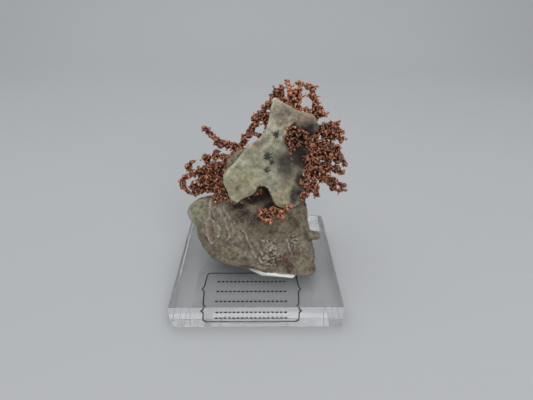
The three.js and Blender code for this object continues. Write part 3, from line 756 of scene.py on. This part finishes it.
# Growth beyond the CAD shapes, each [u, v, w, half size]. It fills the hollow, crowds the plate's right
# edge, and thickens the strings at the left, on the ridge and in the crest.
MORE_GROWTH = {
    "copper_pocket": (
        (9.6, 19.0, 7.2, 1.4), (9.5, 16.8, 7.2, 1.5), (10.2, 14.8, 6.6, 1.3), (10.2, 13.0, 6.8, 0.8),
        (12.3, 19.2, 5.8, 1.6), (12.6, 17.0, 5.2, 1.6), (14.4, 18.2, 4.8, 1.4), (8.8, 20.0, 7.6, 1.2),
        (8.7, 17.8, 7.6, 1.1),
    ),
    "copper_right_upper": ((17.0, 18.2, 3.0, 1.6), (16.6, 15.6, 3.4, 1.7), (18.3, 19.8, 3.4, 1.2)),
    "copper_crest_plate": (
        (7.9, 28.9, 6.4, 1.3), (9.4, 28.1, 6.4, 1.4), (11.2, 27.0, 6.4, 1.2), (12.9, 26.3, 6.2, 1.0),
        (9.8, 33.0, 6.4, 0.9), (9.9, 31.0, 6.4, 1.1),
    ),
    "copper_crest_arch": (
        (14.9, 26.3, 5.4, 0.9), (16.7, 25.3, 5.2, 1.1), (18.4, 24.6, 4.4, 1.0), (13.8, 34.5, 5.3, 0.9),
        (15.4, 33.6, 5, 0.9), (16.9, 32.4, 5, 1.0), (17.1, 30.8, 5, 1.1), (17.8, 29.2, 5, 1.2),
        (17.9, 27.8, 5, 1.2), (19.4, 26.4, 5, 1.4), (20.4, 25.2, 5, 1.0),
    ),
    "copper_ridge_fan": (
        (1.0, 25.8, 4, 1.1), (2.3, 27.0, 4, 1.1), (3.3, 25.2, 4.6, 1.0), (2.6, 23.9, 4, 1.0),
        (0.6, 23.9, 3.6, 1.0), (2.7, 22.2, 4, 0.8),
    ),
    "copper_ridge_chain": (
        (-0.6, 24.6, 3, 1.0), (-0.7, 22.4, 3, 1.0), (-2.0, 20.9, 2, 1.0), (-3.0, 19.3, 2, 0.9),
        (-4.0, 17.8, 2, 0.9), (0.2, 19.2, 3, 0.8), (1.6, 18.7, 3, 0.8),
    ),
    "copper_crest_left": ((4.6, 27.6, 6.0, 0.9), (6.4, 30.6, 6.4, 1.1)),
    "copper_notch": (
        (1.2, 2.2, 1.4, 1.0), (0.0, 1.0, 0.9, 0.7), (-2.2, -0.3, 0.9, 0.5), (-3.8, -0.9, 1.0, 0.45),
        (-5.0, -1.7, 1.2, 0.4),
    ),
    "copper_left_loop": (
        (-22.9, 6.4, -1, 0.9), (-23.8, 4.9, -1, 0.7), (-23.7, 3.3, -1, 0.8), (-22.7, 2.6, -1, 0.9),
        (-21.6, 1.8, -1, 0.9),
    ),
    "copper_left_fan": (
        (-20.4, 1.4, -1, 0.9), (-19.0, 1.2, -1, 1.0), (-17.6, 1.9, -1, 1.0), (-18.8, 2.8, -1, 1.0),
    ),
    "copper_left_hook": (
        (-21.8, 9.0, -1, 0.9), (-21.8, 10.3, -1, 0.9), (-20.7, 11.1, -1, 0.9), (-19.6, 11.3, -1, 0.7),
    ),
    "copper_left_twig": (
        (-16.7, 21.2, 0, 0.9), (-15.4, 20.3, 0, 0.9), (-14.1, 19.5, 0, 1.0), (-12.9, 18.2, 0, 1.0),
        (-10.9, 16.8, 0, 1.2), (-9.1, 16.6, 0, 1.3), (-7.4, 16.1, 0.4, 1.2), (-5.8, 15.5, 0.8, 1.0),
    ),
    "copper_left_shoulder": ((-7.4, 13.2, 1.4, 1.0), (-6.0, 14.0, 2.2, 0.9), (-4.6, 14.6, 3.0, 0.7)),
    "copper_right_middle": ((15.8, 11.8, 4.2, 1.6), (15.8, 8.8, 5.4, 1.3), (16.6, 13.8, 3.4, 1.5)),
    "copper_right_lower": ((15.2, 5.8, 5.8, 1.2), (13.6, 4.6, 6.0, 0.8)),
    "copper_front_tuft": (
        (1.6, -5.2, 2.2, 1.1), (2.6, -6.8, 2.2, 1.2), (4.2, -5.8, 2.2, 0.9), (3.6, -4.4, 2.2, 0.8),
        (6.4, -4.8, 2.0, 0.7),
    ),
}


def hull_of(points):
    """The corners and triangles of the smallest closed shape round some points."""
    hull = bmesh.new()
    for point in points:
        hull.verts.new(point)
    made = bmesh.ops.convex_hull(hull, input=hull.verts)
    spare = {g for key in ("geom_interior", "geom_unused") for g in made[key]}
    bmesh.ops.delete(hull, geom=[g for g in spare if isinstance(g, bmesh.types.BMVert)], context="VERTS")
    hull.verts.index_update()
    form = np.array([v.co[:] for v in hull.verts]), [[v.index for v in f.verts] for f in hull.faces]
    hull.free()
    return form


def crystal_forms():
    """Small angular crystals: cubes, octahedra, both in one, and broken chips, each a little uneven."""
    chance = random.Random(FORMS_SEED)
    corners = [Vector((x, y, z)).normalized() for x in (-1, 1) for y in (-1, 1) for z in (-1, 1)]
    points = [Vector(p) for p in ((1, 0, 0), (-1, 0, 0), (0, 1, 0), (0, -1, 0), (0, 0, 1), (0, 0, -1))]
    forms = []
    for _ in range(FORMS_OF_EACH_KIND):
        chip = [Vector([chance.gauss(0, 1) for _ in range(3)]).normalized() for _ in range(CHIP_CORNERS)]
        for kind in (corners, points, corners + points, chip):
            forms.append(hull_of([p * chance.uniform(*CORNER_REACH) for p in kind]))
    return forms


FORMS = crystal_forms()


class Cluster:
    """Crystals gathered as one shape, in metres."""

    def __init__(self, seed):
        self.chance = random.Random(seed)
        self.corners = []
        self.faces = []
        self.count = 0

    def any_way(self, spread=1.0):
        """A direction by chance."""
        return Vector([self.chance.gauss(0, spread) for _ in range(3)])

    def crystal(self, centre, radius, along=None, stretch=1.0):
        """One crystal, turned by chance or drawn out along a direction. None reaches past the CAD box."""
        corners, faces = self.chance.choice(FORMS)
        turn = (along or self.any_way()).to_track_quat("Z", "Y").to_matrix()
        spin = Matrix.Rotation(self.chance.uniform(0, math.tau), 3, "Z")
        flat = self.chance.uniform(CRYSTAL_FLATTEST, 1.0)
        scale = np.array([radius * flat, radius, radius * stretch])
        own = (corners * scale) @ np.array(turn @ spin).T + np.array(centre)
        low, high = np.array(cad_box[0]) + BOX_MARGIN * MM, np.array(cad_box[1]) - BOX_MARGIN * MM
        if (own < low).any() or (own > high).any():
            return
        self.corners.append(own)
        self.faces += [[self.count + i for i in face] for face in faces]
        self.count += len(own)

    def twig(self, root, normal):
        """A short row of crystals out of the mass, each turned a little from the one before."""
        direction = (Vector(normal) + self.any_way(TWIG_LEAN)).normalized()
        place = Vector(root)
        for _ in range(self.chance.choice(TWIG_CRYSTALS)):
            radius = self.chance.uniform(*TWIG_RADIUS) * MM
            place = place + direction * TWIG_STEP * MM
            self.crystal(place, radius, direction, self.chance.uniform(*TWIG_STRETCH))
            direction = (direction + self.any_way(TWIG_TURN)).normalized()

    def shape(self):
        """All crystals' corners and faces."""
        return np.concatenate(self.corners), self.faces


def spaced(points, spacing, chance):
    """The numbers of some of the points, taken in random order, no two closer than the spacing."""
    free = np.ones(len(points), bool)
    kept = []
    for i in chance.sample(range(len(points)), len(points)):
        if free[i]:
            kept.append(i)
            free &= ((points - points[i]) ** 2).sum(axis=1) > spacing * spacing
    return kept


def thickness(mesh, places, normals):
    """How thick the shape is straight in from each corner, by rays that start just inside it."""
    tree = BVHTree.FromPolygons([v.co for v in mesh.vertices], [p.vertices for p in mesh.polygons])
    found = []
    for place, normal in zip(places, normals):
        inward = -Vector(normal)
        far = tree.ray_cast(Vector(place) + 0.01 * MM * inward, inward)[3]
        found.append(far or 0.0)
    return np.array(found)


def copper_core(node, seed):
    """A mass's CAD shape with its further growth, drawn in unevenly: corners, their normals and faces."""
    shapes = [shape_of(node)] + [rounded_lump(u, v, w, r, r, r) for u, v, w, r in MORE_GROWTH.get(node, ())]
    core = grown_together(node + "_core", shapes, CORE_VOXEL, 1)
    normals = normal_array(core)
    places = vertex_array(core)
    gaps = step(lumps(places / MM, GAP_SIZE, GAP_SEED + seed, 2), *GAP_RISE)
    drawn = (CORE_DRAWN_IN + GAP_DEPTH * gaps) * MM
    drawn = np.minimum(drawn, MOST_DRAWN_IN * thickness(core, places, normals))
    faces = [list(p.vertices) for p in core.polygons]
    bpy.data.meshes.remove(core)
    return places - drawn[:, None] * normals, normals, faces


def copper_growth(node, seed):
    """One copper mass: its core crowded with crystals and short twigs, all grown into one."""
    places, normals, faces = copper_core(node, seed)
    cluster = Cluster(seed)
    chance = cluster.chance
    for i in spaced(places, CRYSTAL_SPACING * MM, chance):
        knob = chance.random() < KNOBBLY_NODES.get(node, KNOB_CHANCE)
        radius = chance.uniform(*(KNOB_RADIUS if knob else CRYSTAL_RADIUS)) * MM
        out = (KNOB_OUT if knob else chance.uniform(*CRYSTAL_OUT)) * radius
        cluster.crystal(places[i] + out * normals[i], radius)
        if chance.random() < TWIG_CHANCE:
            cluster.twig(places[i], normals[i])
    mesh = grown_together(node + "_crystals", [(places, faces), cluster.shape()], COPPER_VOXEL, 1)
    # Crests, crevices and broad clefts, with more for the shaded masses, which the colour turns into painted
    # highlight and painted shade
    store(mesh, "crest", crests(mesh, *CRYSTAL_CREST))
    store(mesh, "cleft_shade", 1 - crests(mesh, *CLEFT_CREST) + SHADED_NODES.get(node, 0))
    store(mesh, "freshness", FRESH_NODES.get(node, TARNISHED_FRESHNESS))
    return mesh


def copper_material():
    """Native copper, grown and tarnished: a dull red-brown skin on metal, bright where it is fresh, with
    painted highlight on crests and painted shade in its crevices.
    """
    material, tree = new_material("native_copper_tarnished")
    place = add(tree, "TexCoord").outputs["Object"]
    skin, patchy = mottled(tree, place, 1.1, "#54382e", "#835749", 0.4, 0.6, 3.0)
    broad = add(tree, "TexNoise", {"Vector": place, "Scale": 1000 / 3.0, "Detail": 2.0})
    skin = shaded(tree, skin, broad, 0.35, 0.65, 0.55, 1.3)
    crest = add(tree, "Attribute", attribute_name="crest").outputs["Fac"]
    fresh = add(tree, "Attribute", attribute_name="freshness").outputs["Fac"]
    rubbed = add(tree, "MapRange", {0: patchy, 1: 0.55, 2: 0.75, 4: 0.45})
    fresh = add(tree, "Math", {0: fresh, 1: rubbed}, operation="ADD")
    # Painted highlight on the crests, added to the fresh metal
    bright = add(tree, "MapRange", {0: crest, 1: 0.5, 2: 0.95})
    bright = add(tree, "Math", {0: bright, 1: 0.3}, operation="MULTIPLY")
    bright = add(tree, "Math", {0: bright, 1: fresh}, operation="ADD", use_clamp=True)
    # Painted shade in the crevices between crystals
    crevice = add(tree, "MapRange", {0: crest, 1: 0.15, 2: 0.6, 3: 0.65, 4: 0.0})
    metal = skin
    for share, tone in ((bright, "#dd9a74"), (crevice, "#2c1a14")):
        tones = {0: share, 6: metal, 7: colour(tone)}
        metal = add(tree, "Mix", tones, data_type="RGBA").outputs[2]
    # Painted shade in broad clefts and shaded masses, and painted highlight on exposed crests
    cleft_shade = add(tree, "Attribute", attribute_name="cleft_shade").outputs["Fac"]
    metal = shaded(tree, metal, cleft_shade, 0.3, 0.66, 1.35, 0.25)
    fine = add(tree, "TexNoise", {"Vector": place, "Scale": 1000 / 0.35, "Detail": 3.0})
    dull = add(tree, "MapRange", {0: fine, 1: 0.3, 2: 0.7, 3: 0.45, 4: 0.7})
    bump = add(tree, "Bump", {"Strength": 0.5, "Distance": 0.05 * MM, "Height": fine})
    return surfaced(material, {"Base Color": metal, "Roughness": dull, "Metallic": 0.65, "Normal": bump})


def plate_grains(rock_mesh):
    """The copper grains that show in the plate, set half into its face."""
    tree = BVHTree.FromPolygons([v.co for v in rock_mesh.vertices], [p.vertices for p in rock_mesh.polygons])
    cluster = Cluster(GRAINS_SEED)
    for u, v, radius in PLATE_GRAINS:
        before_the_plate = Vector(specimen([u, v, 20.0]))
        hit = tree.ray_cast(before_the_plate, Vector(-AXES[2]))[0]
        if hit is not None:
            cluster.crystal(hit, radius * MM)
    mesh = mesh_from("copper_grains", *cluster.shape())
    for name, value in PLATE_GRAIN_MASKS.items():
        store(mesh, name, value)
    return mesh


def acrylic_material():
    """Cast acrylic, polished: clear and colourless, with mirror faces."""
    return surfaced(new_material("cast_acrylic_clear")[0], {
        "Base Color": colour("#ffffff"), "Roughness": 0.0, "IOR": 1.49, "Transmission Weight": 1.0,
    })


def slab_mesh():
    """The square slab with its small polished edges."""
    shape = bmesh.new()
    bmesh.ops.create_cube(shape, size=1)
    size = SLAB_HIGH - SLAB_LOW
    for vertex in shape.verts:
        vertex.co = Vector([vertex.co[i] * size[i] + (SLAB_HIGH[i] + SLAB_LOW[i]) / 2 for i in range(3)])
    bmesh.ops.bevel(
        shape, geom=shape.edges[:], offset=SLAB_BEVEL * MM, segments=3, affect="EDGES", profile=0.5,
    )
    mesh = bpy.data.meshes.new("slab")
    shape.to_mesh(mesh)
    shape.free()
    return mesh


# Label, in millimetres: the ruled border on the film, a plaque with cut corners and a cusp at each side
LABEL_LEFT, LABEL_RIGHT = -16.1, 12.8
LABEL_TOP, LABEL_BOTTOM = -5.35, -21.2
LABEL_MIDDLE = -13.1
LABEL_CUSP = 1.2
LABEL_CORNER = 1.4
# How far the border's points lie outside its sides, from the top line's end down to the bottom line's end
TOP_END_OUT, UPPER_CUT_OUT, OVER_CUSP_OUT = -0.2, 0.3, 0.6
UNDER_CUSP_OUT, LOWER_CUT_OUT, BOTTOM_END_OUT = 0.4, 0.1, -1.0
INK_WIDTH = 0.36
INK_THICK = 0.03
INK_LIFT = 0.01
# Where a printed line turns, it widens by the cosine of half the turn, down to this one
SHARPEST_CORNER = 0.4
# The three dotted lines left blank for writing: their heights, dots, half length, and the size of a dot
WRITING_LINES = (-9.6, -14.2, -18.6)
WRITING_DOTS = 17
WRITING_REACH = 10.6
DOT_HALF_LENGTH = 0.42
DOT_WIDTH = 0.62
# The film's own rounded corners
FILM_CORNER = 0.8
FILM_CORNER_STEPS = 4


def film_material():
    """Printed label film: clear polyester, which in the slab can hardly be seen."""
    return surfaced(new_material("clear_polyester_film")[0], {
        "Base Color": colour("#e4e6e6"), "Roughness": 0.4, "IOR": 1.5, "Alpha": 0.02,
    })


def film_mesh():
    """The film as it lies in the slab: a thin sheet with rounded corners."""
    low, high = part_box("label_film")
    corner = FILM_CORNER * MM
    outline = []
    for cx, cy, start in (
        (high.x - corner, high.y - corner, 0), (low.x + corner, high.y - corner, 90),
        (low.x + corner, low.y + corner, 180), (high.x - corner, low.y + corner, 270),
    ):
        for part in range(FILM_CORNER_STEPS + 1):
            angle = math.radians(start + 90 * part / FILM_CORNER_STEPS)
            outline.append((cx + corner * math.cos(angle), cy + corner * math.sin(angle)))
    count = len(outline)
    vertices = [(x, y, z) for z in (low.z, high.z) for x, y in outline]
    faces = [list(range(count))[::-1], list(range(count, 2 * count))]
    faces += [(i, (i + 1) % count, count + (i + 1) % count, count + i) for i in range(count)]
    return mesh_from("label_film_sheet", vertices, faces)


def ink_material():
    """Thermal transfer ink: flat black, a little uneven."""
    material, tree = new_material("black_ribbon_ink")
    place = add(tree, "TexCoord").outputs["Object"]
    tone, _ = mottled(tree, place, 0.3, "#0c0c0d", "#232426")
    return surfaced(material, {"Base Color": tone, "Roughness": 0.6})


def ribbon(shape, points, width, low, high, closed):
    """A flat printed line of even width through [x, y] points, as a thin solid between two heights."""
    count = len(points)
    sides = []
    for i in range(count):
        here = Vector(points[i])
        before = Vector(points[i - 1]) if closed or i > 0 else here
        after = Vector(points[(i + 1) % count]) if closed or i < count - 1 else here
        along = ((here - before).normalized() + (after - here).normalized()).normalized()
        out = Vector((-along.y, along.x))
        edge = (after - here).normalized() if after != here else (here - before).normalized()
        lean = max(SHARPEST_CORNER, abs(out.dot(Vector((-edge.y, edge.x)))))
        reach = out * width / (2 * lean)
        sides.append([
            shape.verts.new(Vector((*(here + sign * reach), height)) * MM)
            for sign, height in ((1, low), (-1, low), (-1, high), (1, high))
        ])
    for i in range(count if closed else count - 1):
        near, far = sides[i], sides[(i + 1) % count]
        for k in range(4):
            shape.faces.new((near[k], near[(k + 1) % 4], far[(k + 1) % 4], far[k]))
    if not closed:
        shape.faces.new(sides[0][::-1])
        shape.faces.new(sides[-1])


def label_outline():
    """The plaque border, clockwise from the end of its top line. Both sides are alike."""
    side = (
        (TOP_END_OUT, LABEL_TOP), (UPPER_CUT_OUT, LABEL_TOP - LABEL_CORNER),
        (OVER_CUSP_OUT, LABEL_MIDDLE + LABEL_CUSP), (LABEL_CUSP, LABEL_MIDDLE),
        (UNDER_CUSP_OUT, LABEL_MIDDLE - LABEL_CUSP), (LOWER_CUT_OUT, LABEL_BOTTOM + LABEL_CORNER),
        (BOTTOM_END_OUT, LABEL_BOTTOM),
    )
    right = [(LABEL_RIGHT + out, y) for out, y in side]
    left = [(LABEL_LEFT - out, y) for out, y in reversed(side)]
    return right + left


def label_ink_mesh(height):
    """The ruled border and three dotted lines left blank for writing."""
    shape = bmesh.new()
    ribbon(shape, label_outline(), INK_WIDTH, height, height + INK_THICK, True)
    middle = (LABEL_LEFT + LABEL_RIGHT) / 2
    for y in WRITING_LINES:
        for k in range(WRITING_DOTS):
            x = middle + WRITING_REACH * (2 * k / (WRITING_DOTS - 1) - 1)
            dot = [(x - DOT_HALF_LENGTH, y), (x + DOT_HALF_LENGTH, y)]
            ribbon(shape, dot, DOT_WIDTH, height, height + INK_THICK, False)
    bmesh.ops.recalc_face_normals(shape, faces=shape.faces[:])
    mesh = bpy.data.meshes.new("label_ink")
    shape.to_mesh(mesh)
    shape.free()
    return mesh


PUTTY_VOXEL = 0.22
PUTTY_SMOOTHING = 4
PUTTY_CLEARANCE = 0.02
# The roll of putty pressed out along the rock's front edge: its line as [u, v, w], and its half thickness
ROLL_LINE = (
    (-1.5, -22.8, -2.2), (0.1, -23.4, -1.1), (1.7, -23.9, -0.3), (5.8, -24.3, 0.6), (10.7, -24.8, 1.4),
)
ROLL_SIZES = (0.4, 0.85, 0.95, 0.75, 0.35)
ROLL_LUMPS = 25
ROLL_LUMP_HALF_LENGTH = 0.9
# Pressed folds: their closeness along x, y and z, and how far folds and uneven lumps rise in mm
FOLDS_ALONG = (0.15, 0.5, 1.8)
FOLD_CLOSENESS = 2.4
PUTTY_FOLD_RELIEF = 0.10
PUTTY_LUMPS = (1.6, 61, 2)
PUTTY_LUMP_RELIEF = 0.12


def putty_material():
    """Mounting putty, pressed by hand: soft matt white with a little grey in patches."""
    material, tree = new_material("white_mounting_putty")
    place = add(tree, "TexCoord").outputs["Object"]
    tone, smear = mottled(tree, place, 1.5, "#e9e8e2", "#fbfaf6", detail=3.0)
    bump = add(tree, "Bump", {"Strength": 0.4, "Distance": 0.1 * MM, "Height": smear})
    return surfaced(material, {"Base Color": tone, "Roughness": 0.55, "Normal": bump})


def putty_roll():
    """The roll as overlapping lumps."""
    shapes = []
    for part in range(ROLL_LUMPS):
        share = part / (ROLL_LUMPS - 1) * (len(ROLL_LINE) - 1)
        place = [np.interp(share, range(len(ROLL_LINE)), [p[i] for p in ROLL_LINE]) for i in range(3)]
        size = np.interp(share, range(len(ROLL_LINE)), ROLL_SIZES)
        shapes.append(rounded_lump(*place, ROLL_LUMP_HALF_LENGTH, size, size))
    return shapes


def work_putty(mesh):
    """Presses long folds into the pad, along its front edge."""
    places = vertex_array(mesh) / MM
    normals = normal_array(mesh)
    fold = np.sin(FOLD_CLOSENESS * (places @ FOLDS_ALONG))
    rise = PUTTY_FOLD_RELIEF * fold + PUTTY_LUMP_RELIEF * lumps(places, *PUTTY_LUMPS)
    places += rise[:, None] * normals
    places[:, 2] = np.maximum(places[:, 2], SLAB_TOP + PUTTY_CLEARANCE)
    mesh.vertices.foreach_set("co", (places * MM).ravel())
    mesh.update()


# The sweep the object stands on, in metres
SWEEP_HALF_WIDTH = 1.6
SWEEP_FRONT = -0.9
SWEEP_BEND_START = 0.32
SWEEP_BEND_RADIUS = 0.30
SWEEP_BEND_STEPS = 16
SWEEP_TOP = 1.3


def paper_material():
    """Matt paper sweep: pale grey, with a faint cloudiness in patches of 125 mm."""
    material, tree = new_material("matt_paper_sweep")
    place = add(tree, "TexCoord").outputs["Object"]
    tone, _ = mottled(tree, place, 125, "#bcbebf", "#c1c3c5")
    return surfaced(material, {"Base Color": tone, "Roughness": 0.9})


def sweep_mesh():
    """The floor, bent up behind into a backdrop."""
    profile = [(SWEEP_FRONT, 0.0), (SWEEP_BEND_START, 0.0)]
    for part in range(1, SWEEP_BEND_STEPS + 1):
        angle = math.pi / 2 * part / SWEEP_BEND_STEPS
        profile.append((
            SWEEP_BEND_START + SWEEP_BEND_RADIUS * math.sin(angle),
            SWEEP_BEND_RADIUS * (1 - math.cos(angle)),
        ))
    profile.append((SWEEP_BEND_START + SWEEP_BEND_RADIUS, SWEEP_TOP))
    sides = (-SWEEP_HALF_WIDTH, SWEEP_HALF_WIDTH)
    vertices = [(x, y, z + FLOOR_LEVEL * MM) for y, z in profile for x in sides]
    faces = [(2 * i, 2 * i + 1, 2 * i + 3, 2 * i + 2) for i in range(len(profile) - 1)]
    mesh = mesh_from("sweep", vertices, faces)
    for face in mesh.polygons:
        face.use_smooth = True
    return mesh


def place_stage():
    """The floor and backdrop, which are no part of the object."""
    floor = linked("paper_sweep", sweep_mesh())
    floor.data.materials.append(paper_material())


# Soft boxes: place in metres, aim point, size in metres, power in watts
SOFT_BOXES = (
    ((-0.05, 0.1, 0.74), (0, 0.12, 0.0), 0.9, 3.5),
    ((0.15, -0.58, 0.48), (0, 0, 0.03), 0.5, 2.3),
)
# Light turns many times inside the clear slab before it leaves
CLEAR_BOUNCES = 40
SURROUND = "#c9cdd4"
SURROUND_STRENGTH = 0.37


def place_lights():
    """Two soft boxes, an even surround, and bounces enough for the clear slab."""
    for number, (place, aim, size, power) in enumerate(SOFT_BOXES):
        data = bpy.data.lights.new(f"soft_box_{number}", "AREA")
        data.shape = "SQUARE"
        data.size = size
        data.energy = power
        light = linked(data.name, data)
        light.location = place
        light.rotation_euler = (Vector(aim) - Vector(place)).to_track_quat("-Z", "Y").to_euler()
    scene = bpy.context.scene
    world = bpy.data.worlds.new("surround")
    world.use_nodes = True
    world.node_tree.nodes.clear()
    glow = add(world.node_tree, "Background", {"Color": colour(SURROUND), "Strength": SURROUND_STRENGTH})
    add(world.node_tree, "OutputWorld", {"Surface": glow})
    scene.world = world
    scene.view_settings.view_transform = "Standard"
    for kind in ("max_bounces", "transmission_bounces", "glossy_bounces"):
        setattr(scene.cycles, kind, CLEAR_BOUNCES)


place_camera()
place_stage()
place_lights()

new_piece("slab", slab_mesh(), acrylic_material(), ["display_base"])
new_piece("label_sheet", film_mesh(), film_material(), ["label_film"])
film_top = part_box("label_film")[1][2] / MM
new_piece("label_ink", label_ink_mesh(film_top + INK_LIFT), ink_material())

putty_mesh = grown_together(
    "putty_pressed", [shape_of("mounting_putty"), *putty_roll()], PUTTY_VOXEL, PUTTY_SMOOTHING,
)
work_putty(putty_mesh)
new_piece("putty_pad", putty_mesh, putty_material(), ["mounting_putty"])

rock_shapes = [shape_of("matrix_rock")] + [rounded_lump(*lump) for lump in ROCK_LUMPS]
rock_mesh = grown_together("rock_worked", rock_shapes, ROCK_VOXEL, ROCK_SMOOTHING)
work_rock(rock_mesh)
new_piece("rock", rock_mesh, rock_material(), ["matrix_rock"])

copper = copper_material()
for number, node in enumerate(sorted(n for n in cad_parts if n.startswith("copper_"))):
    mass = copper_growth(node, FIRST_COPPER_SEED + number)
    new_piece(node + "_crystals", mass, copper, [node])
new_piece("copper_grains", plate_grains(rock_mesh), copper)
